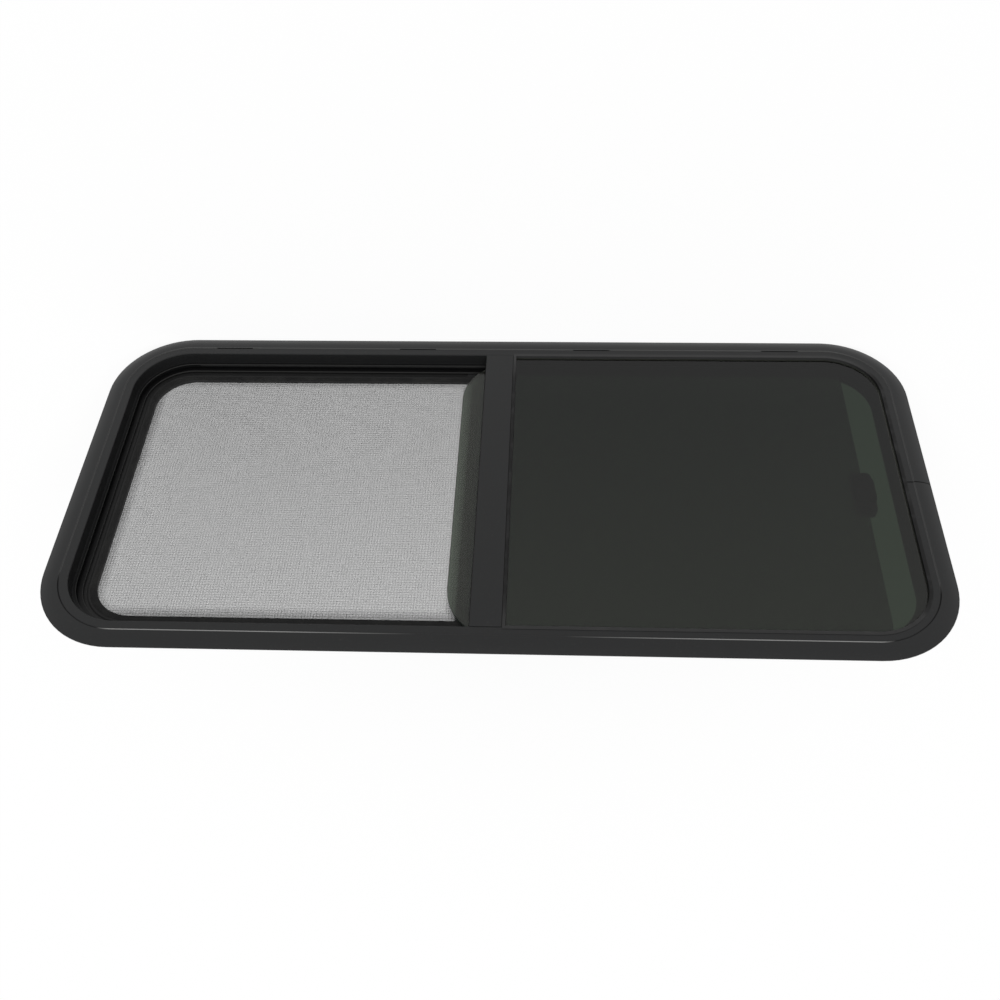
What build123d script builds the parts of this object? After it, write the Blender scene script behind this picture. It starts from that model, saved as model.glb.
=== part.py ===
from build123d import *
from math import atan, degrees, sqrt
import os

os.makedirs("parts", exist_ok=True)

# Horizontal sliding caravan window, upright as fitted: X along the wall, Z up, Y into the vehicle.
# The origin is on the flange's back face, at the middle of the bottom run.
# An "inset" is measured inwards from the window's outer edge,
# and a "depth" is measured into the vehicle from the crest of the frame's rim. Sizes are in mm.

# Window and wall cut-out
overall_width = 1150.0
overall_height = 550.0
outer_corner_radius = 110.0
wall_lap = 25.0
neck_clearance = 1.5

# Frame extrusion, flange side
rim_height = 7.0
flange_edge = 1.2
flange_shell = 1.9
step_inset = 23.1
step_drop = 0.9
crest_radius = 0.7
land_width = 12.2
land_edge_radius = 1.5
sealant_lip = 3.2
sealant_seat = 9.5

# Frame extrusion, neck side
frame_wall = 2.0
rib_thickness = 1.8
reveal_depth = 19.8
reveal_lean = 0.3
outer_rib_reach = 4.4
pane_channel_width = 5.9
inner_rib_reach = 17.9
inner_rib_thickness = 2.0
screen_floor_offset = 11.5
screen_channel_width = 8.0
screen_lip_reach = 3.0
screen_lip_thickness = 2.0
screw_groove_width = 3.2
screw_groove_depth = 8.0
seam_gap = 0.4

# Drain slots along the bottom run's step, cut a little into the land
slot_length = 54.0
slot_height = 1.55
slot_sink = 1.0
slot_reach = 4.3
slot_lip = 1.3
slot_places = (129.0, 405.0)

# Fits between pieces of one body, and between the sliding pane and its track
seat_gap = 0.1
pane_rest_gap = 0.3

# Mullion, with the fixed glass on its left
mullion_fixed_side = -14.5
mullion_width = 40.0
mullion_depth = 12.5
mullion_wall = 1.8
mullion_edge_radius = 1.0
pile_width = 6.5
pile_slot_depth = 3.0
pile_slot_offset = 31.5
pile_glass_gap = 0.4

# Glazing
glass_thickness = 4.0
fixed_glass_drop = 3.7
fixed_glass_edge_gap = 1.0
bead_reach = 1.8
bead_lap = 2.9
bead_lip = 0.5
mullion_bead_reach = 4.0
spacer_reach = 4.6
spacer_depth = 6.5

# Sliding pane: where its leading edge stops when shut, how far it then laps behind the mullion,
# and where its trailing edge stands now that it is open
pane_shut_inset = 33.5
pane_overlap = 32.6
pane_open_inset = 84.2
pane_leading_radius = 76.0
pane_trailing_radius = 33.0

# Track liners
liner_thickness = 0.6
liner_height = 7.4
liner_end_gap = 5.0

# Insect screen
screen_drop = 2.4
screen_thickness = 5.0
screen_rest_gap = 0.3
screen_bar_width = 21.7
screen_inner_radius = 54.0
screen_stile_edge = 24.0
screen_corner_size = 30.0
spline_groove_width = 4.0
spline_groove_depth = 3.0
spline_groove_inset = 10.4
spline_gap = 0.15
mesh_thickness = 0.4
mesh_columns = 10
mesh_rows = 8
mesh_strand = 10.0
tab_width = 16.0
tab_reach = 9.0
tab_thickness = 1.6
tab_place = 120.0

# Latch on the trailing edge
latch_height = 70.0
latch_reach = 14.5
latch_grip = 14.0
latch_thickness = 12.0
latch_corner_radius = 7.0
latch_jaw_thickness = 2.0
latch_jaw_height = 44.0
lever_width = 14.0
lever_slot_gap = 0.4
lever_slot_floor = 3.5
lever_wall = 1.6
lever_length = 44.0
lever_lift = 9.0
lever_thickness = 4.0
lever_top_margin = 12.0
pin_radius = 2.0
pin_gap = 0.05

# Splice plate that joins the ends of the bent frame, inside its drain chamber
splice_length = 80.0
splice_thickness = 3.0
splice_width = 10.0

# Values that follow from the sizes above
neck_inset = wall_lap + neck_clearance
floor_inset = neck_inset + frame_wall
land_end_inset = step_inset + land_width
reveal_inset = land_end_inset + reveal_lean
outer_rib_inset = reveal_inset + outer_rib_reach
outer_rib_front = reveal_depth - rib_thickness
channel_back = reveal_depth + pane_channel_width
inner_rib_inset = floor_inset + inner_rib_reach
inner_rib_back = channel_back + inner_rib_thickness
screen_floor_inset = floor_inset + screen_floor_offset
screen_lip_depth = inner_rib_back + screen_channel_width
frame_depth = screen_lip_depth + screen_lip_thickness
seat_inset = neck_inset - sealant_seat / 2
centre_height = overall_height / 2 - seat_inset
reveal_slope = reveal_lean / (reveal_depth - step_drop)
half_width = overall_width / 2
half_height = overall_height / 2

fixed_glass_front = step_drop + fixed_glass_drop
fixed_glass_back = fixed_glass_front + glass_thickness
pane_front = reveal_depth + (pane_channel_width - glass_thickness) / 2
pane_back = pane_front + glass_thickness
pane_edge_inset = floor_inset + seat_gap + liner_thickness + pane_rest_gap
mullion_open_side = mullion_fixed_side + mullion_width
pane_width = half_width - pane_shut_inset - (mullion_open_side - pane_overlap)
pane_trailing_edge = pane_open_inset - half_width
pane_leading_edge = pane_trailing_edge + pane_width
mullion_back = step_drop + mullion_depth
screen_front = inner_rib_back + screen_drop
screen_back = screen_front + screen_thickness
screen_outer_inset = screen_floor_inset + screen_rest_gap
screen_inner_inset = screen_outer_inset + screen_bar_width
stile_inner_edge = screen_stile_edge + screen_bar_width


def rim_top(inset):
    """Depth of the flange's crowned face at an inset, from the arc that falls from the crest to the edge."""
    span = step_inset - crest_radius
    fall = rim_height - flange_edge
    radius = (span**2 + fall**2) / (2 * fall)
    return radius - sqrt(radius**2 - (span - inset) ** 2)


def reveal_at(depth):
    """Inset of the leaning reveal wall at a depth."""
    return land_end_inset + reveal_slope * (depth - step_drop)


def face_plane(depth):
    """Plane parallel to the window at a depth, centred on it, that faces the outside."""
    return Plane(origin=(0, depth - rim_height, centre_height), x_dir=(1, 0, 0), z_dir=(0, -1, 0))


def section_plane(height):
    """Level plane at a height above the window's centre, with depth along its second axis."""
    return Plane(origin=(0, -rim_height, centre_height + height), x_dir=(1, 0, 0), z_dir=(0, 0, 1))


def side_plane(across):
    """Upright plane across the wall, with depth along its first axis and height along its second."""
    return Plane(origin=(across, -rim_height, centre_height), x_dir=(0, 1, 0), z_dir=(1, 0, 0))


def window_outline(inset, radius=None, mode=Mode.ADD):
    """The window's rounded outline, drawn in by an inset, with the frame's bends unless a radius is given."""
    corner = radius or outer_corner_radius - inset
    RectangleRounded(overall_width - 2 * inset, overall_height - 2 * inset, corner, mode=mode)


def keep_between(left, right):
    """Keep the stretch of the sketch between two places along the wall."""
    with Locations(((left + right) / 2, 0)):
        Rectangle(right - left, overall_height, mode=Mode.INTERSECT)


# Outer frame: one extrusion bent round the window, with its butt joint halfway up the left side
with BuildPart() as outer_frame:
    with BuildLine(face_plane(0)) as frame_path:
        left = -half_width
        right = half_width
        top = half_height
        radius = outer_corner_radius
        Line((left, seam_gap / 2), (left, top - radius))
        RadiusArc((left, top - radius), (left + radius, top), radius)
        Line((left + radius, top), (right - radius, top))
        RadiusArc((right - radius, top), (right, top - radius), radius)
        Line((right, top - radius), (right, radius - top))
        RadiusArc((right, radius - top), (right - radius, -top), radius)
        Line((right - radius, -top), (left + radius, -top))
        RadiusArc((left + radius, -top), (left, radius - top), radius)
        Line((left, radius - top), (left, -seam_gap / 2))
    profile_plane = Plane(
        origin=(-half_width, -rim_height, centre_height + seam_gap / 2), x_dir=(1, 0, 0), z_dir=(0, 0, 1)
    )
    with BuildSketch(profile_plane) as frame_profile:
        with BuildLine():
            crest = (step_inset - crest_radius, 0)
            riser = (step_inset, crest_radius)
            land_edge = (land_end_inset - land_edge_radius, step_drop)
            reveal_top = (reveal_at(step_drop + land_edge_radius), step_drop + land_edge_radius)
            groove_side = floor_inset + screw_groove_width
            recess_start = sealant_lip + flange_shell / 2
            recess_end = neck_inset - sealant_seat
            Line((0, rim_height), (0, rim_height - flange_edge))
            TangentArc(crest, (0, rim_height - flange_edge), tangent=(-1, 0))
            TangentArc(crest, riser, tangent=(1, 0))
            Polyline(riser, (step_inset, step_drop), land_edge)
            TangentArc(land_edge, reveal_top, tangent=(1, 0))
            Polyline(
                reveal_top,
                (reveal_at(outer_rib_front), outer_rib_front),
                (outer_rib_inset, outer_rib_front),
                (outer_rib_inset, reveal_depth),
                (floor_inset, reveal_depth),
                (floor_inset, channel_back),
                (inner_rib_inset, channel_back),
                (inner_rib_inset, inner_rib_back),
                (screen_floor_inset, inner_rib_back),
                (screen_floor_inset, screen_lip_depth),
                (screen_floor_inset + screen_lip_reach, screen_lip_depth),
                (screen_floor_inset + screen_lip_reach, frame_depth),
                (groove_side, frame_depth),
                (groove_side, frame_depth - screw_groove_depth),
                (floor_inset, frame_depth - screw_groove_depth),
                (floor_inset, frame_depth),
                (neck_inset, frame_depth),
                (neck_inset, rim_height),
                (recess_end, rim_height),
                (recess_end, rim_top(recess_end) + flange_shell),
                (recess_start, rim_top(recess_start) + flange_shell),
                (sealant_lip, rim_height),
                (0, rim_height),
            )
        make_face()
        # Drain chamber behind the reveal
        chamber_front = step_drop + frame_wall
        chamber_back = outer_rib_front
        with BuildLine():
            Polyline(
                (floor_inset, chamber_front),
                (reveal_at(chamber_front) - rib_thickness, chamber_front),
                (reveal_at(chamber_back) - rib_thickness, chamber_back),
                (floor_inset, chamber_back),
                close=True,
            )
        make_face(mode=Mode.SUBTRACT)
        # Chamber beside the screw groove
        box_left = groove_side + rib_thickness
        box_right = screen_floor_inset - rib_thickness
        box_front = inner_rib_back + rib_thickness
        box_back = screen_lip_depth
        with Locations(((box_left + box_right) / 2, (box_front + box_back) / 2)):
            Rectangle(box_right - box_left, box_back - box_front, mode=Mode.SUBTRACT)
    sweep(sections=frame_profile.sketch, path=frame_path.wires()[0])
    # Drain slots under the crest of the bottom run
    slot_z = centre_height - half_height + step_inset + slot_lip - slot_reach / 2
    slot_y = step_drop + slot_sink - slot_height / 2 - rim_height
    with Locations(*[(side * place, slot_y, slot_z) for place in slot_places for side in (-1, 1)]):
        Box(slot_length, slot_height, slot_reach, mode=Mode.SUBTRACT)

# Splice plate across the butt joint, lying on the drain chamber's outer wall
with BuildPart() as frame_splice:
    splice_depth = (chamber_front + chamber_back) / 2
    splice_x = floor_inset + seat_gap + splice_thickness / 2 - half_width
    with BuildSketch(section_plane(-splice_length / 2)):
        with Locations((splice_x, splice_depth)):
            Rectangle(splice_thickness, splice_width)
    extrude(amount=splice_length)

# Fixed glass
with BuildPart() as fixed_glass:
    fixed_glass_inset = reveal_at(fixed_glass_back) + fixed_glass_edge_gap
    fixed_glass_right = mullion_fixed_side - fixed_glass_edge_gap
    with BuildSketch(face_plane(fixed_glass_back)):
        window_outline(fixed_glass_inset)
        keep_between(-half_width, fixed_glass_right)
    extrude(amount=glass_thickness)

# Mullion: a hollow bar between the top and bottom reveals, with a slot for its pile seal
with BuildPart() as mullion:
    mullion_middle = (mullion_fixed_side + mullion_open_side) / 2
    pile_x = mullion_fixed_side + pile_slot_offset
    with BuildSketch(section_plane(-half_height)):
        with Locations((mullion_middle, step_drop + mullion_depth / 2)):
            Rectangle(mullion_width, mullion_depth)
        fillet(vertices().group_by(Axis.Y)[0], radius=mullion_edge_radius)
        with Locations((mullion_middle, step_drop + (mullion_depth - pile_slot_depth) / 2)):
            Rectangle(
                mullion_width - 2 * mullion_wall,
                mullion_depth - pile_slot_depth - 2 * mullion_wall,
                mode=Mode.SUBTRACT,
            )
        with Locations((pile_x, mullion_back - pile_slot_depth / 2)):
            Rectangle(pile_width, pile_slot_depth, mode=Mode.SUBTRACT)
    extrude(amount=overall_height)
    # The bar's ends are cut to the lean of the reveal
    with BuildSketch(side_plane(mullion_fixed_side)):
        with BuildLine():
            front_end = half_height - reveal_at(step_drop) - seat_gap
            back_end = half_height - reveal_at(mullion_back) - seat_gap
            Polyline(
                (step_drop, -front_end),
                (mullion_back, -back_end),
                (mullion_back, back_end),
                (step_drop, front_end),
                close=True,
            )
        make_face()
    extrude(amount=mullion_width, mode=Mode.INTERSECT)

# Pile seal in the mullion's slot, reaching to the sliding pane
with BuildPart() as mullion_pile_seal:
    pile_front = mullion_back - pile_slot_depth + seat_gap
    pile_back = pane_front - pile_glass_gap
    pile_height = 2 * (half_height - outer_rib_inset - seat_gap)
    with BuildSketch(section_plane(-pile_height / 2)):
        with Locations((pile_x, (pile_front + pile_back) / 2)):
            Rectangle(pile_width - 2 * seat_gap, pile_back - pile_front)
        fillet(vertices().group_by(Axis.Y)[-1], radius=pile_width / 4)
    extrude(amount=pile_height)

# Bead round the fixed glass: it fills the reveal beside the glass and laps over the glass and the land
with BuildPart() as fixed_glass_gasket:
    bead_seat = step_drop - seat_gap
    bead_front = bead_seat - bead_lip
    bead_right = mullion_fixed_side - seat_gap
    reveal_angle = degrees(atan(reveal_slope))
    with BuildSketch(face_plane(fixed_glass_back)):
        window_outline(reveal_at(fixed_glass_back) + seat_gap)
    extrude(amount=fixed_glass_back - bead_front, taper=-reveal_angle)
    with BuildSketch(face_plane(bead_seat)):
        window_outline(land_end_inset - bead_lap)
    extrude(amount=bead_lip)
    with BuildSketch(face_plane(fixed_glass_back)):
        Rectangle(overall_width, overall_height)
        keep_between(-half_width, bead_right)
    extrude(amount=frame_depth, mode=Mode.INTERSECT)
    with BuildSketch(face_plane(fixed_glass_back)):
        window_outline(fixed_glass_inset - seat_gap)
        keep_between(-half_width, fixed_glass_right + seat_gap)
    extrude(amount=glass_thickness, mode=Mode.SUBTRACT)
    with BuildSketch(face_plane(fixed_glass_front)):
        window_outline(reveal_at(fixed_glass_front) + bead_reach)
        keep_between(-half_width, mullion_fixed_side - mullion_bead_reach)
    extrude(amount=fixed_glass_front, mode=Mode.SUBTRACT)
    bead_rim = fixed_glass_gasket.faces().sort_by(Axis.Y)[0]
    chamfer(bead_rim.inner_wires()[0].edges(), length=bead_lip / 2)

# Glazing strip behind the fixed glass, bonded to the reveal and to the mullion's side
with BuildPart() as fixed_glass_spacer:
    spacer_back = fixed_glass_back + spacer_depth
    spacer_front = fixed_glass_back + seat_gap
    with BuildSketch(face_plane(spacer_back)):
        window_outline(reveal_at(spacer_back) + seat_gap)
    extrude(amount=spacer_back - spacer_front, taper=-reveal_angle)
    with BuildSketch(face_plane(spacer_back)):
        Rectangle(overall_width, overall_height)
        keep_between(-half_width, bead_right)
    extrude(amount=frame_depth, mode=Mode.INTERSECT)
    with BuildSketch(face_plane(spacer_back)):
        window_outline(reveal_at(spacer_back) + spacer_reach)
        keep_between(-half_width, mullion_fixed_side - spacer_reach)
    extrude(amount=spacer_depth, mode=Mode.SUBTRACT)

# Track liners: a channel lining for the pane's edge, along the top, the bottom and the closing jamb
liner_wall_inset = floor_inset + seat_gap
liner_front = reveal_depth + seat_gap
liner_back = channel_back - seat_gap
liner_middle = (liner_front + liner_back) / 2
liner_run = overall_width - 2 * outer_corner_radius - 2 * liner_end_gap
jamb_run = overall_height - 2 * outer_corner_radius - 2 * liner_end_gap


def liner_section(edge, inwards):
    """Channel section with its floor at an edge and its mouth pointing inwards, in place, height."""
    mouth = edge + inwards * liner_height
    floor = edge + inwards * liner_thickness
    with Locations((liner_middle, (edge + mouth) / 2)):
        Rectangle(liner_back - liner_front, liner_height)
    with Locations((liner_middle, (floor + mouth) / 2)):
        Rectangle(
            liner_back - liner_front - 2 * liner_thickness, liner_height - liner_thickness, mode=Mode.SUBTRACT
        )


with BuildPart() as upper_track_liner:
    with BuildSketch(side_plane(-liner_run / 2)):
        liner_section(half_height - liner_wall_inset, -1)
    extrude(amount=liner_run)

with BuildPart() as lower_track_liner:
    with BuildSketch(side_plane(-liner_run / 2)):
        liner_section(liner_wall_inset - half_height, 1)
    extrude(amount=liner_run)

jamb_plane = Plane(
    origin=(0, -rim_height, centre_height - jamb_run / 2), x_dir=(0, 1, 0), z_dir=(0, 0, -1)
)
with BuildPart() as jamb_track_liner:
    with BuildSketch(jamb_plane):
        liner_section(half_width - liner_wall_inset, -1)
    extrude(amount=-jamb_run)

# Sliding pane, with large leading corners that follow the frame's bend when it is shut
with BuildPart() as sliding_glass:
    with BuildSketch(face_plane(pane_back)):
        with Locations(((pane_leading_edge + pane_trailing_edge) / 2, 0)):
            Rectangle(pane_width, overall_height - 2 * pane_edge_inset)
        fillet(vertices().group_by(Axis.X)[-1], radius=pane_leading_radius)
        fillet(vertices().group_by(Axis.X)[0], radius=pane_trailing_radius)
    extrude(amount=glass_thickness)

# Latch body: a housing inside the pane that wraps its trailing edge, with a jaw on the outer face
with BuildPart() as latch_body:
    latch_front = pane_back + seat_gap
    latch_back = latch_front + latch_thickness
    latch_left = pane_trailing_edge - latch_reach
    latch_right = pane_trailing_edge + latch_grip
    latch_middle = (latch_left + latch_right) / 2
    with BuildSketch(face_plane(latch_back)):
        with Locations((latch_middle, 0)):
            RectangleRounded(latch_right - latch_left, latch_height, latch_corner_radius)
    extrude(amount=latch_thickness)
    chamfer(latch_body.faces().sort_by(Axis.Y)[-1].edges(), length=latch_corner_radius / 4)
    # The bridge round the glass edge and the jaw on the outer face
    jaw_front = pane_front - seat_gap - latch_jaw_thickness
    with BuildSketch(face_plane(latch_front)):
        with Locations((latch_middle, 0)):
            RectangleRounded(latch_right - latch_left, latch_jaw_height, latch_corner_radius)
    extrude(amount=latch_front - jaw_front)
    with BuildSketch(side_plane(pane_trailing_edge - seat_gap)):
        with Locations(((pane_front + pane_back) / 2, 0)):
            Rectangle(glass_thickness + 2 * seat_gap, latch_height)
    extrude(amount=latch_grip + latch_corner_radius, mode=Mode.SUBTRACT)
    # Slot for the lever and bore for its pin
    slot_top = latch_height / 2 - lever_top_margin / 2
    slot_bottom = slot_top - lever_length - lever_top_margin / 2
    with BuildSketch(face_plane(latch_back)):
        with Locations((latch_middle, (slot_top + slot_bottom) / 2)):
            Rectangle(lever_width + 2 * lever_slot_gap, slot_top - slot_bottom)
    extrude(amount=latch_thickness - lever_slot_floor, mode=Mode.SUBTRACT)
    pin_height = latch_height / 2 - lever_top_margin
    lever_in = latch_front + lever_slot_floor + lever_slot_gap
    pin_depth = lever_in + lever_wall + pin_gap + pin_radius
    with BuildSketch(side_plane(latch_left)):
        with Locations((pin_depth, pin_height)):
            Circle(pin_radius + pin_gap)
    extrude(amount=latch_right - latch_left, mode=Mode.SUBTRACT)

# Latch lever: a thumb lever bent out at its lower end, turning on the pin
with BuildPart() as latch_lever:
    lever_back = latch_back + lever_lift
    with BuildSketch(side_plane(latch_middle - lever_width / 2)):
        with BuildLine():
            lever_top = pin_height + pin_radius + pin_gap + lever_wall
            lever_foot = pin_height - lever_length + lever_top_margin / 2
            lever_out = pin_depth + pin_radius + pin_gap + lever_wall
            Polyline((lever_in, lever_foot), (lever_in, lever_top), (lever_out, lever_top))
            Line((lever_out, lever_top), (lever_out, pin_height - lever_top_margin / 2))
            ThreePointArc(
                (lever_out, pin_height - lever_top_margin / 2),
                ((lever_out + lever_back) / 2 - lever_thickness / 2, (pin_height + lever_foot) / 2 - lever_thickness),
                (lever_back, lever_foot),
            )
            Line((lever_back, lever_foot), (lever_back - lever_thickness, lever_foot - lever_thickness))
            ThreePointArc(
                (lever_back - lever_thickness, lever_foot - lever_thickness),
                ((lever_in + lever_back) / 2, lever_foot + lever_thickness / 4),
                (lever_in, lever_foot),
            )
        make_face()
        with Locations((pin_depth, pin_height)):
            Circle(pin_radius + pin_gap, mode=Mode.SUBTRACT)
    extrude(amount=lever_width)

with BuildPart() as latch_pin:
    with BuildSketch(side_plane(latch_left + latch_corner_radius / 2)):
        with Locations((pin_depth, pin_height)):
            Circle(pin_radius)
    extrude(amount=latch_right - latch_left - latch_corner_radius)

# Insect screen: a bent frame on three sides, a straight stile by the mullion and two corner keys
corner_reach = screen_stile_edge + screen_corner_size


def screen_ring(outer_inset, inner_inset, left, right, inner_radius=None):
    """Band of the opening half between two insets, open towards the mullion."""
    window_outline(outer_inset)
    window_outline(inner_inset, inner_radius, Mode.SUBTRACT)
    keep_between(left, right)


groove_outer_inset = screen_outer_inset + spline_groove_inset
groove_inner_inset = groove_outer_inset + spline_groove_width
groove_left = screen_stile_edge + spline_groove_inset
groove_right = groove_left + spline_groove_width
screen_half_height = half_height - screen_outer_inset

with BuildPart() as screen_frame:
    with BuildSketch(face_plane(screen_back)):
        screen_left = corner_reach + seat_gap
        screen_ring(screen_outer_inset, screen_inner_inset, screen_left, half_width, screen_inner_radius)
    extrude(amount=screen_thickness)
    with BuildSketch(face_plane(screen_front)):
        screen_ring(groove_outer_inset, groove_inner_inset, corner_reach, half_width)
    extrude(amount=-spline_groove_depth, mode=Mode.SUBTRACT)

with BuildPart() as screen_stile:
    stile_half = screen_half_height - screen_corner_size - seat_gap
    with BuildSketch(face_plane(screen_back)):
        with Locations((screen_stile_edge + screen_bar_width / 2, 0)):
            Rectangle(screen_bar_width, 2 * stile_half)
    extrude(amount=screen_thickness)
    with BuildSketch(face_plane(screen_front)):
        with Locations(((groove_left + groove_right) / 2, 0)):
            Rectangle(spline_groove_width, 2 * stile_half)
    extrude(amount=-spline_groove_depth, mode=Mode.SUBTRACT)


def screen_corner(up):
    """Corner key at the top (1) or bottom (-1) of the stile, with the groove turning through it."""
    middle = up * (screen_half_height - screen_corner_size / 2)
    groove_middle = up * (half_height - (groove_outer_inset + groove_inner_inset) / 2)
    groove_centre = (groove_left + groove_right) / 2
    with BuildPart() as corner:
        with BuildSketch(face_plane(screen_back)):
            with Locations((screen_stile_edge + screen_corner_size / 2, middle)):
                Rectangle(screen_corner_size, screen_corner_size)
            inner = screen_corner_size - screen_bar_width
            with Locations(
                (corner_reach - inner / 2, up * (screen_half_height - screen_corner_size + inner / 2))
            ):
                Rectangle(inner, inner, mode=Mode.SUBTRACT)
        extrude(amount=screen_thickness)
        with BuildSketch(face_plane(screen_front)):
            with Locations((groove_centre, middle - up * spline_groove_inset)):
                Rectangle(spline_groove_width, screen_corner_size)
            with Locations((groove_left + screen_corner_size / 2, groove_middle)):
                Rectangle(screen_corner_size, spline_groove_width)
        extrude(amount=-spline_groove_depth, mode=Mode.SUBTRACT)
    return corner


screen_corner_upper = screen_corner(1)
screen_corner_lower = screen_corner(-1)

# Spline pressed into the groove all round, over the mesh's edge
with BuildPart() as screen_spline:
    spline_width = spline_groove_width - 2 * spline_gap
    with BuildSketch(face_plane(screen_front + spline_groove_depth - spline_gap)):
        window_outline(groove_outer_inset + spline_gap)
        keep_between(groove_left + spline_gap, half_width)
        spline_inner = groove_inner_inset - spline_gap
        with BuildSketch(mode=Mode.PRIVATE) as spline_hole:
            window_outline(spline_inner)
            keep_between(groove_right - spline_gap, half_width)
        add(spline_hole.sketch, mode=Mode.SUBTRACT)
    extrude(amount=spline_groove_depth - 2 * spline_gap)

# Mesh, stretched over the front of the screen's bars, with a plain grid for its fine weave
with BuildPart() as screen_mesh:
    field_width = half_width - screen_inner_inset - stile_inner_edge
    field_height = overall_height - 2 * screen_inner_inset
    column_pitch = field_width / mesh_columns
    row_pitch = field_height / mesh_rows
    with BuildSketch(face_plane(screen_front)):
        window_outline(groove_outer_inset)
        keep_between(groove_left, half_width)
        with BuildSketch(mode=Mode.PRIVATE) as field:
            window_outline(screen_inner_inset, screen_inner_radius)
        with BuildSketch(mode=Mode.PRIVATE) as weave_openings:
            with Locations((stile_inner_edge + field_width / 2, 0)):
                with GridLocations(column_pitch, row_pitch, mesh_columns, mesh_rows):
                    Rectangle(column_pitch - mesh_strand, row_pitch - mesh_strand)
            add(field.sketch, mode=Mode.INTERSECT)
        add(weave_openings.sketch, mode=Mode.SUBTRACT)
    extrude(amount=mesh_thickness)


def screen_tab(up):
    """Pull tab on the inner face of the stile, for lifting the screen out."""
    with BuildPart() as tab:
        with BuildSketch(face_plane(screen_back + tab_thickness)):
            with Locations((stile_inner_edge - screen_bar_width / 4, up * tab_place)):
                RectangleRounded(tab_reach, tab_width, tab_reach / 3)
        extrude(amount=tab_thickness)
    return tab


screen_tab_upper = screen_tab(1)
screen_tab_lower = screen_tab(-1)

pieces = {
    "outer_frame": outer_frame,
    "frame_splice": frame_splice,
    "fixed_glass": fixed_glass,
    "fixed_glass_gasket": fixed_glass_gasket,
    "fixed_glass_spacer": fixed_glass_spacer,
    "mullion": mullion,
    "mullion_pile_seal": mullion_pile_seal,
    "upper_track_liner": upper_track_liner,
    "lower_track_liner": lower_track_liner,
    "jamb_track_liner": jamb_track_liner,
    "sliding_glass": sliding_glass,
    "latch_body": latch_body,
    "latch_lever": latch_lever,
    "latch_pin": latch_pin,
    "screen_frame": screen_frame,
    "screen_stile": screen_stile,
    "screen_corner_upper": screen_corner_upper,
    "screen_corner_lower": screen_corner_lower,
    "screen_spline": screen_spline,
    "screen_mesh": screen_mesh,
    "screen_tab_upper": screen_tab_upper,
    "screen_tab_lower": screen_tab_lower,
}
for name, piece in pieces.items():
    piece.part.label = name
    export_step(piece.part, f"parts/{name}.step")
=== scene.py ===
import math
import random
import bpy
from mathutils import Matrix, Vector


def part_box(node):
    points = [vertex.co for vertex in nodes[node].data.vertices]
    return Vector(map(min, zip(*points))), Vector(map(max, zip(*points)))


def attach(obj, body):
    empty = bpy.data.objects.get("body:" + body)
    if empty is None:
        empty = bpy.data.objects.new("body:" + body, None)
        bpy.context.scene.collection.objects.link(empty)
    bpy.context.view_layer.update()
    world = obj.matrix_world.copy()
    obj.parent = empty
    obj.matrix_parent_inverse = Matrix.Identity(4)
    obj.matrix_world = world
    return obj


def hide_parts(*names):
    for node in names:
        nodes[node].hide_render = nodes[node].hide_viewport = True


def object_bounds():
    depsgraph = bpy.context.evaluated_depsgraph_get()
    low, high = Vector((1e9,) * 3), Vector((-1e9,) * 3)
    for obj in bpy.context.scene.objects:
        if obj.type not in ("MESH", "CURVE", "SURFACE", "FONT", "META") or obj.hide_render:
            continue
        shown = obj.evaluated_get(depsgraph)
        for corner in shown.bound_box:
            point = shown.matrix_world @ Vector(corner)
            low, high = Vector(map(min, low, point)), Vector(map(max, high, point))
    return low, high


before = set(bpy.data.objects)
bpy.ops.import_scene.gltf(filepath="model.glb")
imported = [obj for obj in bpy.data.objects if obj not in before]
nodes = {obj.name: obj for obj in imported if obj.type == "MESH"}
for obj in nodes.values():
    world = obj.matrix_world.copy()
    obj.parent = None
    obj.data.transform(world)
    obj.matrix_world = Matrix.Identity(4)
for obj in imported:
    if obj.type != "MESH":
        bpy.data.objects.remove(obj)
cadLow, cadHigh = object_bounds()
cadMiddle = (cadLow + cadHigh) / 2
print("frame loaded with", len(nodes), "nodes")


class Tap:  # one output socket, so that shader maths reads as plain arithmetic
    def __init__(self, tree, socket=None):
        self.tree = tree
        self.socket = socket

    def node(self, kind, settings=None, values=None, output=0):  # any node, its settings and its sockets
        made = self.tree.nodes.new("ShaderNode" + kind)
        for name, setting in (settings or {}).items():
            setattr(made, name, setting)
        for name, value in (values or {}).items():
            if isinstance(value, Tap):
                self.tree.links.new(value.socket, made.inputs[name])
            else:
                made.inputs[name].default_value = value
        return Tap(self.tree, made.outputs[output]) if made.outputs else None

    def reckon(self, operation, first, second):
        return self.node("Math", {"operation": operation}, {0: first, 1: second})

    def __add__(self, other):
        return self.reckon("ADD", self, other)

    def __radd__(self, other):
        return self.reckon("ADD", other, self)

    def __sub__(self, other):
        return self.reckon("SUBTRACT", self, other)

    def __rsub__(self, other):
        return self.reckon("SUBTRACT", other, self)

    def __mul__(self, other):
        return self.reckon("MULTIPLY", self, other)

    def __rmul__(self, other):
        return self.reckon("MULTIPLY", other, self)


noiseMiddle = 0.5


def noise(tap, place, scale, detail):  # runs about its middle
    return tap.node("TexNoise", None, {"Vector": place, "Scale": scale, "Detail": detail})


def between(tap, value, low, high):  # 0 at low and before it, 1 at high and past it
    return tap.node("MapRange", None, {"Value": value, "From Min": low, "From Max": high})


def along(tap, place, axis):  # one coordinate of a point
    return tap.node("SeparateXYZ", None, {"Vector": place}, axis)


def unsigned(tap, value):
    return tap.reckon("ABSOLUTE", value, 0)


def blendColours(tap, share, first, second):  # the Mix node keeps its colours at sockets 6, 7 and output 2
    return tap.node("Mix", {"data_type": "RGBA"}, {0: share, 6: first, 7: second}, 2)


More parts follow.
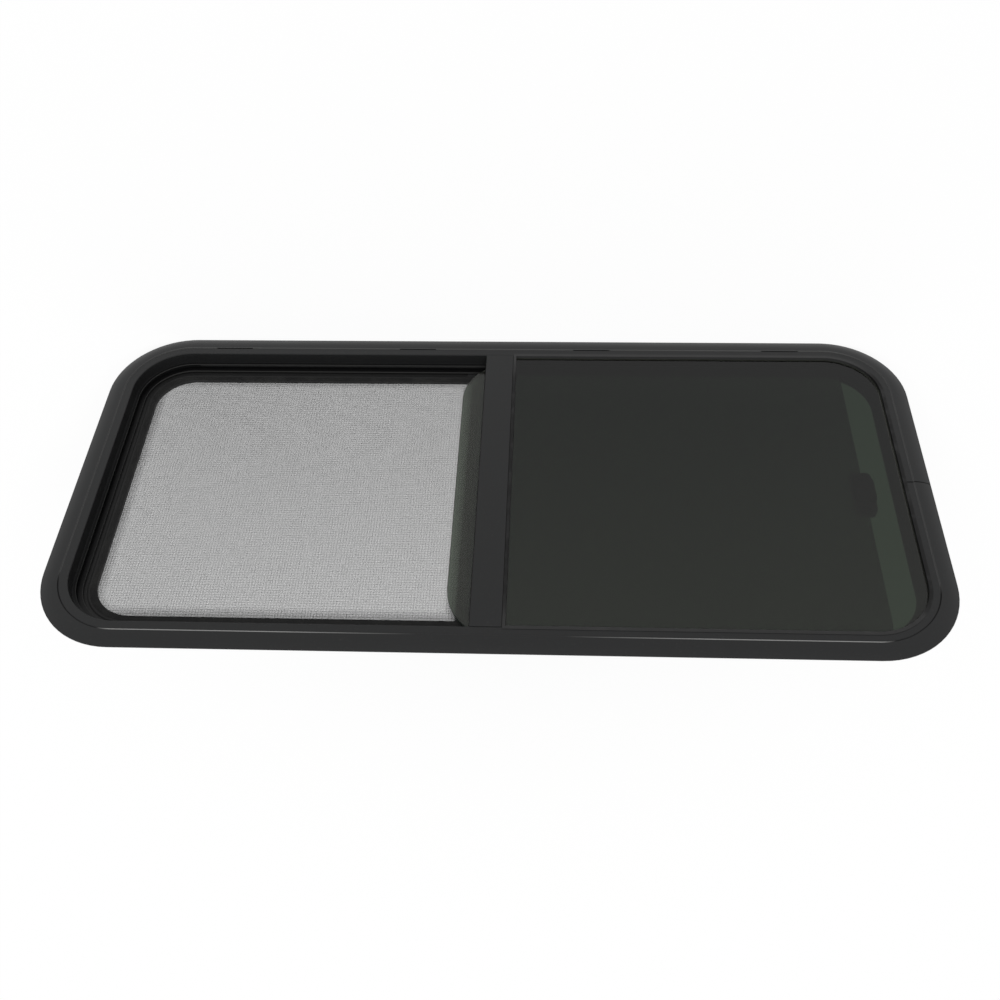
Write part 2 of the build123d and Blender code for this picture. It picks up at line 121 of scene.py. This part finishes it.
def bumped(tap, height, strength, depth):
    return tap.node("Bump", None, {"Height": height, "Strength": strength, "Distance": depth})


def newFinish(name):
    material = bpy.data.materials.new(name)
    material.use_nodes = True
    material.node_tree.nodes.clear()
    tap = Tap(material.node_tree)
    return material, tap, tap.node("TexCoord", output="Object")


def closeFinish(material, tap, sockets):
    shader = tap.node("BsdfPrincipled", None, sockets)
    tap.node("OutputMaterial", None, {"Surface": shader})
    return material


# Rounded outline of the whole window, by which the coat and the glass are shaded
outline = {"corner": 0.110, "bendBand": (0.001, 0.018), "lineSoftness": (0.3, 0.6)}


def pastStraights(tap, place):  # how far a point lies past the straight runs, across and up
    reach = (cadHigh - cadLow) / 2
    pastSide = unsigned(tap, along(tap, place, "X") - cadMiddle.x) - (reach.x - outline["corner"])
    pastTop = unsigned(tap, along(tap, place, "Z") - cadMiddle.z) - (reach.z - outline["corner"])
    return pastSide, pastTop


def windowInset(tap, place):  # how far a point lies inside the outline
    pastSide, pastTop = pastStraights(tap, place)
    bendAcross = tap.reckon("MAXIMUM", pastSide, 0)
    bendUp = tap.reckon("MAXIMUM", pastTop, 0)
    bend = tap.reckon("SQRT", bendAcross * bendAcross + bendUp * bendUp, 0)
    flat = tap.reckon("MINIMUM", tap.reckon("MAXIMUM", pastSide, pastTop), 0)
    return outline["corner"] - bend - flat


def bendShare(tap, place):  # 1 in the bends, 0 along the straight runs
    pastSide, pastTop = pastStraights(tap, place)
    return between(tap, tap.reckon("MINIMUM", pastSide, pastTop), *outline["bendBand"])


def outlineLine(tap, inset, centre, width):  # 1 on a line that follows the outline, 0 off it
    core, rim = [width * part for part in outline["lineSoftness"]]
    return 1 - between(tap, unsigned(tap, inset - centre), core, rim)


# Powder coat on the aluminium: near black, satin, with a fine orange peel and a little dust, pale lines of
# painted highlight on the step and the ribs, painted shade in the reveal and a painted shadow line on the
# step in the upper bends
frameCoat = {
    "name": "frame_powder_coat", "colour": (0.0084, 0.0086, 0.0088, 1),
    "roughness": 0.40, "roughnessSpread": 0.12, "specular": 0.23,
    "peelScale": 950, "peelDepth": 0.00003, "peelStrength": 0.25, "cloudScale": 7,
    "dust": (0.022, 0.022, 0.0215, 1), "dustScale": 420, "dustBand": (0.60, 0.72), "dustClouds": 0.2,
    "dustShare": 0.5, "dustRoughness": 0.10,
    # painted highlights: the pale colour laid along the flange's step and the rib tips
    "pale": (0.200, 0.200, 0.196, 1),
    "stepInset": 0.0232, "stepWidth": 0.0017, "stepDepth": (0.0012, 0.0014),
    "topBand": (0.040, 0.022), "topShift": 0.0009, "topFade": (0.09, 0.26), "topPale": 0.78,
    "endBand": (0.235, 0.25), "endPale": 0.05, "sidePale": 0.12,
    "ribInsets": (0.0403, 0.0467), "ribWidth": 0.0012, "ribDepth": (0.0135, 0.0140), "ribPale": 0.12,
    # painted shade: the coat turns darker inside the reveal
    "revealShadeColour": (0.0015, 0.0015, 0.0016, 1), "revealFrom": (0.0362, 0.0385), "revealShadeShare": 1.0,
    # dark line for the butt joint; its colour also draws the painted shadow line on the step in the upper
    # bends
    "lineColour": (0.001, 0.001, 0.001, 1), "bendShadow": 0.6,
    "jointWidth": (0.0005, 0.0011), "jointReach": (0.10, 0.11), "jointDark": 0.8,
}
frameOnly = ("topPale", "endPale", "sidePale", "ribPale", "revealShadeShare", "bendShadow", "jointDark")
mullionCoat = dict(frameCoat, name="mullion_powder_coat", **dict.fromkeys(frameOnly, 0.0))
screenCoat = dict(mullionCoat, name="screen_powder_coat", colour=(0.006, 0.006, 0.006, 1))
screenCoat.update(roughness=0.48, specular=0.25)


def edgeLines(tap, place, look, inset):  # painted highlights on the step and the ribs, a painted shadow line on the step in the upper bends
    height = along(tap, place, "Z")
    depth = along(tap, place, "Y")
    atFront = 1 - between(tap, depth, *[cadLow.y + back for back in look["stepDepth"]])
    nearTop = between(tap, height, *[cadHigh.z - below for below in look["topBand"]])
    nearEnds = between(tap, unsigned(tap, height - cadMiddle.z), *look["endBand"])
    fromMullion = between(tap, unsigned(tap, along(tap, place, "X")), *look["topFade"])
    onTop = fromMullion * nearTop
    share = (look["sidePale"] + nearEnds * look["endPale"]) * (1 - nearTop) + onTop * look["topPale"]
    stepLine = look["stepInset"] - nearTop * look["topShift"]
    line = outlineLine(tap, inset, stepLine, look["stepWidth"]) * atFront
    upperBend = bendShare(tap, place) * between(tap, height, cadMiddle.z, cadHigh.z - outline["corner"])
    behindRib = between(tap, depth, *look["ribDepth"])
    outerRib = outlineLine(tap, inset, look["ribInsets"][0], look["ribWidth"]) * (1 - behindRib)
    innerRib = outlineLine(tap, inset, look["ribInsets"][1], look["ribWidth"]) * behindRib
    pale = line * (1 - upperBend) * share + (outerRib + innerRib) * look["ribPale"]
    return pale, line * upperBend * look["bendShadow"]


def buttJoint(tap, place, look):  # dark line where the bent frame's ends meet
    low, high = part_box("frame_splice")
    joint = (low + high) / 2
    onLine = 1 - between(tap, unsigned(tap, along(tap, place, "Z") - joint.z), *look["jointWidth"])
    onSide = 1 - between(tap, unsigned(tap, along(tap, place, "X") - joint.x), *look["jointReach"])
    return onLine * onSide * look["jointDark"]


def powderCoat(look):
    material, tap, place = newFinish(look["name"])
    cloud = noise(tap, place, look["cloudScale"], detail=4.0)
    peel = noise(tap, place, look["peelScale"], detail=1.0)
    specks = noise(tap, place, look["dustScale"], detail=3.0)
    clouded = specks * (1 - look["dustClouds"]) + cloud * look["dustClouds"]
    dust = between(tap, clouded, *look["dustBand"])
    inset = windowInset(tap, place)
    pale, bendShadowLine = edgeLines(tap, place, look, inset)
    # the butt joint's own dark line plus the painted shadow line in the upper bends
    darkLine = buttJoint(tap, place, look) + bendShadowLine
    # painted shade inside the reveal
    revealShade = between(tap, inset, *look["revealFrom"]) * look["revealShadeShare"]
    roughness = look["roughness"] + (cloud - noiseMiddle) * look["roughnessSpread"]
    coat = blendColours(tap, dust * look["dustShare"], look["colour"], look["dust"])
    coat = blendColours(tap, revealShade, coat, look["revealShadeColour"])
    coat = blendColours(tap, darkLine, coat, look["lineColour"])
    return closeFinish(material, tap, {
        # painted highlights laid over the coat
        "Base Color": blendColours(tap, pale, coat, look["pale"]),
        "Metallic": darkLine,  # with its dark colour this takes the gloss off the line
        "Roughness": roughness + dust * look["dustRoughness"],
        "Normal": bumped(tap, peel, look["peelStrength"], look["peelDepth"]),
        "Specular IOR Level": look["specular"],
    })


# Green grey tinted glass with matt ground edges and a thin film of dust on the sliding pane; the fixed
# light's is darker, and on it the matt film is a painted reflection that grows towards the top, with
# painted light along its lower rim
tintedGlass = {
    "name": "tinted_glass", "colour": (0.168, 0.205, 0.164, 1), "smear": (0.152, 0.187, 0.149, 1),
    "roughness": 0.010, "smearRoughness": 0.02, "ior": 1.34, "smearScale": 3.2, "smearBand": (0.52, 0.75),
    "groundEdge": (0.020, 0.026, 0.022, 1), "faceBand": (0.3, 0.7),
    "mattRoughness": 0.7, "mattSpecular": 0.2,
    # the dust colour serves the real dust film on the sliding pane, and on the fixed light the painted
    # reflection and the painted light on the rim
    "dust": (0.25, 0.26, 0.22, 1), "film": 0.042, "paintedReflectionRise": 0.0, "filmFrom": 0.2,
    # painted light: a pale matt band along the lower rim, beside the bead
    "paintedRimLight": 0.0, "rimInset": (0.0385, 0.0405),
}
# the fixed light: no dust film, but a painted reflection rising towards the top and painted light on its
# lower rim
fixedGlass = dict(tintedGlass, name="dark_tinted_glass", ior=1.326, film=0.0, paintedReflectionRise=0.029, paintedRimLight=0.07)
fixedGlass.update(colour=(0.0145, 0.0232, 0.0143, 1), smear=(0.0128, 0.0205, 0.0126, 1))


def glazing(look):
    material, tap, place = newFinish(look["name"])
    smeared = between(tap, noise(tap, place, look["smearScale"], detail=5.0), *look["smearBand"])
    facing = along(tap, tap.node("NewGeometry", output="True Normal"), "Y")
    onFace = between(tap, unsigned(tap, facing), *look["faceBand"])  # 0 on the ground edges
    low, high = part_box("fixed_glass")
    height = along(tap, place, "Z")
    # painted reflection: the matt film grows from low on the fixed light towards its top
    filmFoot = low.z + (high.z - low.z) * look["filmFrom"]
    film = between(tap, height, filmFoot, high.z) * look["paintedReflectionRise"] + look["film"]
    # painted light: a pale matt band on the lower rim lifts the bead's dark reflection in the glass
    lowerHalf = 1 - between(tap, height, (low.z + high.z) / 2, high.z)
    rim = (1 - between(tap, windowInset(tap, place), *look["rimInset"])) * lowerHalf * look["paintedRimLight"]
    clear = tap.node("BsdfPrincipled", None, {
        "Base Color": blendColours(tap, smeared, look["colour"], look["smear"]),
        "Roughness": look["roughness"] + smeared * look["smearRoughness"],
        "Transmission Weight": 1.0,
        "IOR": look["ior"],
    })
    matt = tap.node("BsdfPrincipled", None, {
        "Base Color": blendColours(tap, onFace, look["groundEdge"], look["dust"]),
        "Roughness": look["mattRoughness"],
        "Specular IOR Level": look["mattSpecular"],
    })
    surface = tap.node("MixShader", None, {0: onFace * (1 - (film + rim)), 1: matt, 2: clear})
    tap.node("OutputMaterial", None, {"Surface": surface})
    return material


# Black rubber of the glazing bead, the strip behind the glass and the screen's spline; the bead's rubber
# has painted shade on the uprights and painted light along the sill
beadRubber = {
    "name": "glazing_rubber", "colour": (0.016, 0.016, 0.016, 1), "specular": 0.22,
    # painted shade: darker on the uprights; painted light: lighter along the sill
    "upright": (0.003, 0.003, 0.003, 1), "uprightSpan": (0.195, 0.230),  # up and down from the middle
    "sill": (0.021, 0.021, 0.021, 1), "sillSpan": (0.040, 0.075),  # up from the bottom edge
    "bloom": (0.026, 0.026, 0.026, 1), "bloomScale": 60, "bloomBand": (0.48, 0.78), "bloomShare": 0.5,
    "roughness": 0.62, "roughnessSpread": 0.2,
    "grainScale": 1800, "grainDepth": 0.00003, "grainStrength": 0.4,
}
# the spline keeps one colour all round, without the painted shade or light
splineBlack = dict.fromkeys(("colour", "upright", "sill"), (0.006, 0.006, 0.006, 1))
splineRubber = dict(beadRubber, name="spline_rubber", bloom=(0.011, 0.011, 0.011, 1), **splineBlack)


def mattRubber(look):
    material, tap, place = newFinish(look["name"])
    bloom = between(tap, noise(tap, place, look["bloomScale"], detail=4.0), *look["bloomBand"])
    grain = noise(tap, place, look["grainScale"], detail=2.0)
    height = along(tap, place, "Z")
    onUpright = 1 - between(tap, unsigned(tap, height - cadMiddle.z), *look["uprightSpan"])
    onSill = 1 - between(tap, height - cadLow.z, *look["sillSpan"])
    # painted shade on the uprights, painted light along the sill
    shade = blendColours(tap, onUpright, look["colour"], look["upright"])
    shade = blendColours(tap, onSill, shade, look["sill"])
    return closeFinish(material, tap, {
        "Base Color": blendColours(tap, bloom * look["bloomShare"], shade, look["bloom"]),
        "Roughness": look["roughness"] + (grain - noiseMiddle) * look["roughnessSpread"],
        "Normal": bumped(tap, grain, look["grainStrength"], look["grainDepth"]),
        "Specular IOR Level": look["specular"],
    })


# Flocked lining of the tracks and the woven pile of the mullion's seal
linerFlock = {
    "name": "track_flock", "colour": (0.006, 0.006, 0.006, 1), "specular": 0.2, "sheen": 0.25,
    "tips": (0.022, 0.022, 0.022, 1), "tipBand": (0.4, 0.7), "roughness": 0.85, "roughnessSpread": 0.2,
    "fibreScale": 2600, "fibreDepth": 0.00012, "fibreStrength": 0.8,
}
sealPile = dict(linerFlock, name="seal_pile", colour=(0.003, 0.003, 0.003, 1), sheen=0.05)
sealPile.update(tips=(0.009, 0.009, 0.009, 1))


def fibrePile(look):
    material, tap, place = newFinish(look["name"])
    fibre = noise(tap, place, look["fibreScale"], detail=3.0)
    tips = between(tap, fibre, *look["tipBand"])
    return closeFinish(material, tap, {
        "Base Color": blendColours(tap, tips, look["colour"], look["tips"]),
        "Roughness": look["roughness"] + (fibre - noiseMiddle) * look["roughnessSpread"],
        "Normal": bumped(tap, fibre, look["fibreStrength"], look["fibreDepth"]),
        "Specular IOR Level": look["specular"],
        "Sheen Weight": look["sheen"],
    })


# Vinyl coated glass fibre yarn of the insect mesh
meshYarn = {
    "name": "screen_yarn", "colour": (0.009, 0.009, 0.009, 1), "specular": 0.2,
    "patches": (0.015, 0.015, 0.0145, 1), "patchScale": 40, "patchBand": (0.4, 0.65),
    "roughness": 0.60, "roughnessSpread": 0.2,
}


def coatedYarn(look):
    material, tap, place = newFinish(look["name"])
    patch = noise(tap, place, look["patchScale"], detail=5.0)
    patches = between(tap, patch, *look["patchBand"])
    return closeFinish(material, tap, {
        "Base Color": blendColours(tap, patches, look["colour"], look["patches"]),
        "Roughness": look["roughness"] + (patch - noiseMiddle) * look["roughnessSpread"],
        "Specular IOR Level": look["specular"],
    })


# Spark textured black plastic of the latch, the screen's corner keys and the pull tabs
latchPlastic = {
    "name": "latch_plastic", "colour": (0.010, 0.010, 0.0105, 1), "specular": 0.45,
    "shiny": (0.018, 0.018, 0.0185, 1), "shinyScale": 55, "shinyBand": (0.50, 0.72), "shinyGloss": 0.12,
    "roughness": 0.46, "roughnessSpread": 0.15,
    "textureScale": 2200, "textureDepth": 0.00004, "textureStrength": 0.5,
}


def texturedPlastic(look):
    material, tap, place = newFinish(look["name"])
    spark = noise(tap, place, look["textureScale"], detail=2.0)
    shiny = between(tap, noise(tap, place, look["shinyScale"], detail=3.0), *look["shinyBand"])
    roughness = look["roughness"] - shiny * look["shinyGloss"]
    return closeFinish(material, tap, {
        "Base Color": blendColours(tap, shiny, look["colour"], look["shiny"]),
        "Roughness": roughness + (spark - noiseMiddle) * look["roughnessSpread"],
        "Normal": bumped(tap, spark, look["textureStrength"], look["textureDepth"]),
        "Specular IOR Level": look["specular"],
    })


# Bare metal of the latch pin and of the plate inside the frame's joint
pinSteel = {
    "name": "pin_steel", "colour": (0.42, 0.42, 0.41, 1), "dull": (0.30, 0.30, 0.29, 1),
    "roughness": 0.30, "roughnessSpread": 0.2,
    "streakScale": 1500, "streakStretch": (1, 1, 0.05), "streakDepth": 0.00002, "streakStrength": 0.2,
}
spliceMetal = dict(pinSteel, name="mill_aluminium")
spliceMetal.update(colour=(0.62, 0.62, 0.61, 1), dull=(0.48, 0.48, 0.47, 1))


def bareMetal(look):
    material, tap, place = newFinish(look["name"])
    stretched = tap.node("Mapping", None, {"Vector": place, "Scale": look["streakStretch"]})
    streak = noise(tap, stretched, look["streakScale"], detail=3.0)
    return closeFinish(material, tap, {
        "Base Color": blendColours(tap, streak, look["colour"], look["dull"]),
        "Metallic": 1.0,
        "Roughness": look["roughness"] + (streak - noiseMiddle) * look["roughnessSpread"],
        "Normal": bumped(tap, streak, look["streakStrength"], look["streakDepth"]),
    })


finishes = {
    "coat": powderCoat(frameCoat),
    "mullionCoat": powderCoat(mullionCoat),
    "screenCoat": powderCoat(screenCoat),
    "glass": glazing(tintedGlass),
    "fixedGlass": glazing(fixedGlass),
    "rubber": mattRubber(beadRubber),
    "spline": mattRubber(splineRubber),
    "flock": fibrePile(linerFlock),
    "pile": fibrePile(sealPile),
    "yarn": coatedYarn(meshYarn),
    "plastic": texturedPlastic(latchPlastic),
    "steel": bareMetal(pinSteel),
    "aluminium": bareMetal(spliceMetal),
}
print("finishes made:", len(finishes))

# Which finish each carried-over node wears
wears = {
    "outer_frame": "coat", "mullion": "mullionCoat", "frame_splice": "aluminium",
    "fixed_glass": "fixedGlass", "sliding_glass": "glass",
    "fixed_glass_gasket": "rubber", "fixed_glass_spacer": "rubber", "screen_spline": "spline",
    "mullion_pile_seal": "pile",
    "upper_track_liner": "flock", "lower_track_liner": "flock", "jamb_track_liner": "flock",
    "screen_frame": "screenCoat", "screen_stile": "screenCoat", "screen_mesh": "yarn",
    "screen_corner_upper": "plastic", "screen_corner_lower": "plastic",
    "screen_tab_upper": "plastic", "screen_tab_lower": "plastic",
    "latch_body": "plastic", "latch_lever": "plastic", "latch_pin": "steel",
}
smoothBelow = math.radians(28)


def dress(piece, finish):
    piece.data.materials.clear()
    piece.data.materials.append(finishes[finish])
    for face in piece.data.polygons:
        face.use_smooth = True
    piece.data.set_sharp_from_angle(angle=smoothBelow)


for nodeName, finish in wears.items():
    dress(nodes[nodeName], finish)
print("carried-over nodes dressed:", len(wears))


def addPiece(name, points, faces, finish, body):
    mesh = bpy.data.meshes.new(name)
    mesh.from_pydata(points, [], faces)
    mesh.validate()
    piece = bpy.data.objects.new(name, mesh)
    bpy.context.scene.collection.objects.link(piece)
    dress(piece, finish)
    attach(piece, body)
    return piece


# Insect mesh: two crossing layers of yarn cut to the screen's outline
screenCloth = {
    "pitchAcross": 0.000945, "pitchUp": 0.000975,
    "yarn": 0.00028, "heavyEvery": 4, "heavy": 1.45, "sides": 6,
    "corner": 0.0593, "fuse": 0.00004, "waver": 0.02, "seed": 7,
    "barLap": 0.0113, "fade": 0.016, "fadeMarks": (0.0, 0.35, 0.7, 1.0),
    "swell": 0.55, "stileSwell": 0.95,  # thicker yarn beside the bars and the stile, for the shade there
}


def yarnPrism(centres, radii, sides, points, faces):  # a many-sided rod through the centres
    direction = (centres[-1] - centres[0]).normalized()
    side = direction.cross(Vector((0, 1, 0)))
    front = direction.cross(side)
    first = len(points)
    for centre, radius in zip(centres, radii):
        for step in range(sides):
            turn = math.tau * (step + 0.5) / sides
            points.append(centre + (side * math.cos(turn) + front * math.sin(turn)) * radius)
    for ring in range(len(centres) - 1):
        start = first + ring * sides
        for step in range(sides):
            following = (step + 1) % sides
            faces.append((start + step, start + following, start + sides + following, start + sides + step))
    last = len(points) - sides
    faces.append(tuple(first + step for step in reversed(range(sides))))
    faces.append(tuple(last + step for step in range(sides)))


def weaveScreen(look):
    low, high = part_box("screen_mesh")
    middle = (low + high) / 2
    halfHeight = (high.z - low.z) / 2
    corner = look["corner"]
    uneven = random.Random(look["seed"])
    points, faces = [], []

    def cornerDrop(past):  # how far the outline has turned in, past the corner's start
        past = min(max(past, 0.0), corner)
        return corner - math.sqrt(corner**2 - past**2)

    def places(start, end, pitch):  # yarn places along one side, each a little off the even pitch
        count = round((end - start) / pitch)
        for step in range(1, count):
            off = pitch * uneven.uniform(-look["waver"], look["waver"])
            yield start + (end - start) * step / count + off

    def crowding(fromEdge):  # 1 over the bars, down to 0 where the fade ends
        return 1 - min(max((fromEdge - look["barLap"]) / look["fade"], 0.0), 1.0)

    def layYarn(number, start, end, startSwell, sideGrowth):
        length = (end - start).length
        marks = [0.0] + [look["barLap"] + look["fade"] * share for share in look["fadeMarks"]]
        marks = [mark for mark in marks if mark < length / 2]
        radius = look["yarn"] / 2 * (look["heavy"] if number % look["heavyEvery"] == 0 else 1.0)
        atStart = [radius * (1 + max(startSwell * crowding(mark), sideGrowth)) for mark in marks]
        atEnd = [radius * (1 + max(look["swell"] * crowding(mark), sideGrowth)) for mark in marks]
        direction = (end - start).normalized()
        centres = [start + direction * mark for mark in marks]
        centres += [end - direction * mark for mark in reversed(marks)]
        yarnPrism(centres, atStart + atEnd[::-1], look["sides"], points, faces)

    uprights = list(places(low.x, high.x, look["pitchAcross"]))
    for number, across in enumerate(uprights):
        reach = halfHeight - cornerDrop(across - (high.x - corner))
        foot = Vector((across, middle.y - look["fuse"], middle.z - reach))
        byStile = look["stileSwell"] * crowding(across - low.x)
        growth = max(byStile, look["swell"] * crowding(high.x - across))
        layYarn(number, foot, foot + Vector((0, 0, 2 * reach)), look["swell"], growth)
    levels = list(places(low.z, high.z, look["pitchUp"]))
    for number, height in enumerate(levels):
        right = high.x - cornerDrop(abs(height - middle.z) - (halfHeight - corner))
        left = Vector((low.x, middle.y + look["fuse"], height))
        growth = look["swell"] * crowding(min(height - low.z, high.z - height))
        layYarn(number, left, left + Vector((right - low.x, 0, 0)), look["stileSwell"], growth)
    cloth = addPiece("insect_mesh", points, faces, "yarn", "frame")
    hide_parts("screen_mesh")
    return len(uprights) + len(levels)


print("insect mesh woven with", weaveScreen(screenCloth), "yarns")

# Rounded face of the spline, standing a little proud of the mesh where it is pressed into the bars
splineBead = {"width": 0.0037, "proud": 0.0009, "corner": 0.0573, "bendSteps": 20, "roundSteps": 8}


def addSplineBead(look):
    low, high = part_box("screen_spline")
    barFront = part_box("screen_frame")[0].y
    side, corner = look["width"] / 2, look["corner"]
    left, right = low.x + side, high.x - side
    bottom, top = low.z + side, high.z - side
    route = [(Vector((left, barFront, bottom)), Vector((-1, 0, -1)))]  # places and their outward ways
    for centre, start in ((bottom + corner, -90), (top - corner, 0)):
        for step in range(look["bendSteps"] + 1):
            turn = math.radians(start + 90 * step / look["bendSteps"])
            out = Vector((math.cos(turn), 0, math.sin(turn)))
            route.append((Vector((right - corner, barFront, centre)) + out * corner, out))
    route.append((Vector((left, barFront, top)), Vector((-1, 0, 1))))
    points, faces = [], []
    around = look["roundSteps"] + 1
    for place, out in route:
        for step in range(around):
            turn = math.pi * step / look["roundSteps"]
            lift = Vector((0, -math.sin(turn) * look["proud"], 0))
            points.append(place + out * math.cos(turn) * side + lift)
    for ring in range(len(route)):
        start, following = ring * around, (ring + 1) % len(route) * around
        for step in range(around):
            beside = (step + 1) % around
            faces.append((start + step, following + step, following + beside, start + beside))
    addPiece("screen_spline_bead", points, faces, "spline", "frame")


addSplineBead(splineBead)
print("spline bead added")

# Brush of the mullion's seal, a dark line along its opening edge, partly the seal and partly painted shadow
# of the gap there
sealBrush = {"width": 0.0013, "gap": 0.0006, "set": 0.004}


def addBrush(look):
    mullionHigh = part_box("mullion")[1]
    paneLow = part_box("sliding_glass")[0]
    sealLow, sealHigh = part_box("mullion_pile_seal")
    left, right = mullionHigh.x, mullionHigh.x + look["width"]
    front, back = mullionHigh.y - look["set"], paneLow.y - look["gap"]
    foot, head = sealLow.z, sealHigh.z
    corners = [Vector((x, y, z)) for x in (left, right) for y in (front, back) for z in (foot, head)]
    sides = [(0, 1, 3, 2), (4, 6, 7, 5), (0, 4, 5, 1), (2, 3, 7, 6), (0, 2, 6, 4), (1, 5, 7, 3)]
    addPiece("mullion_brush", corners, sides, "pile", "frame")


addBrush(sealBrush)
print("seal brush added")

# Pale floor, even light from the camera's side and a white surround
studio = {
    "floorColour": (0.95, 0.95, 0.95, 1), "floorReach": 9.0, "floorGap": 0.0004, "floorGlow": 0.80,
    "sunStrength": 3.6, "sunSoftness": math.radians(60), "sunFrom": (-0.05, -0.76, 0.66),
    "white": (1, 1, 1, 1), "ambient": 0.30,
}


def seenDirectly(tap):  # 1 for rays from the camera, off gloss or through glass
    fromCamera = tap.node("LightPath", output="Is Camera Ray")
    offGloss = tap.node("LightPath", output="Is Glossy Ray")
    throughGlass = tap.node("LightPath", output="Is Transmission Ray")
    return tap.reckon("MAXIMUM", fromCamera, tap.reckon("MAXIMUM", offGloss, throughGlass))


def layFloor(look):
    reach = look["floorReach"]
    level = cadLow.z - look["floorGap"]
    mesh = bpy.data.meshes.new("floor")
    corners = [(-reach, -reach), (reach, -reach), (reach, reach), (-reach, reach)]
    mesh.from_pydata([(x, y, level) for x, y in corners], [], [(0, 1, 2, 3)])
    floor = bpy.data.objects.new("floor", mesh)
    bpy.context.scene.collection.objects.link(floor)
    material = bpy.data.materials.new("pale_floor")
    material.use_nodes = True
    material.node_tree.nodes.clear()
    tap = Tap(material.node_tree)
    paint = tap.node("BsdfDiffuse", None, {"Color": look["floorColour"]})
    glow = tap.node("Emission", None, {"Color": look["white"], "Strength": 1.0})
    surface = tap.node("MixShader", None, {0: seenDirectly(tap) * look["floorGlow"], 1: paint, 2: glow})
    tap.node("OutputMaterial", None, {"Surface": surface})
    mesh.materials.append(material)


def lightStudio(look):
    world = bpy.data.worlds.new("white_surround")
    world.use_nodes = True
    world.node_tree.nodes.clear()
    tap = Tap(world.node_tree)
    share = seenDirectly(tap)
    strength = share + (1 - share) * look["ambient"]
    sky = tap.node("Background", None, {"Color": look["white"], "Strength": strength})
    tap.node("OutputWorld", None, {"Surface": sky})
    bpy.context.scene.world = world
    sun = bpy.data.lights.new("key_light", "SUN")
    sun.energy = look["sunStrength"]
    sun.angle = look["sunSoftness"]
    lamp = bpy.data.objects.new("key_light", sun)
    lamp.rotation_mode = "QUATERNION"
    lamp.rotation_quaternion = Vector(look["sunFrom"]).to_track_quat("Z", "Y")
    lamp.visible_glossy = False  # gloss shows the white surround alone
    bpy.context.scene.collection.objects.link(lamp)


layFloor(studio)
lightStudio(studio)
print("studio lit")

# Camera in front of the window and above it, rolled over so that the bottom run is the far side
photoCamera = {
    "place": (-0.0733, -1.1691, 1.2655), "aim": (-0.0046, -0.0044, 0.2913),
    "up": (0.01182, -0.64195, -0.76666), "lens": 41.27, "sensor": 36.0, "clipStart": 0.01,
}


def setCamera(look):
    data = bpy.data.cameras.new("photo_camera")
    data.sensor_width = look["sensor"]
    data.lens = look["lens"]
    data.clip_start = look["clipStart"]
    camera = bpy.data.objects.new("photo_camera", data)
    forward = (Vector(look["aim"]) - Vector(look["place"])).normalized()
    right = forward.cross(Vector(look["up"])).normalized()
    up = right.cross(forward)
    turn = Matrix((right, up, -forward)).transposed()
    camera.matrix_world = Matrix.Translation(look["place"]) @ turn.to_4x4()
    bpy.context.scene.collection.objects.link(camera)
    bpy.context.scene.camera = camera


setCamera(photoCamera)
bpy.context.scene.view_settings.view_transform = "Standard"
print("camera set")

bpy.context.view_layer.update()
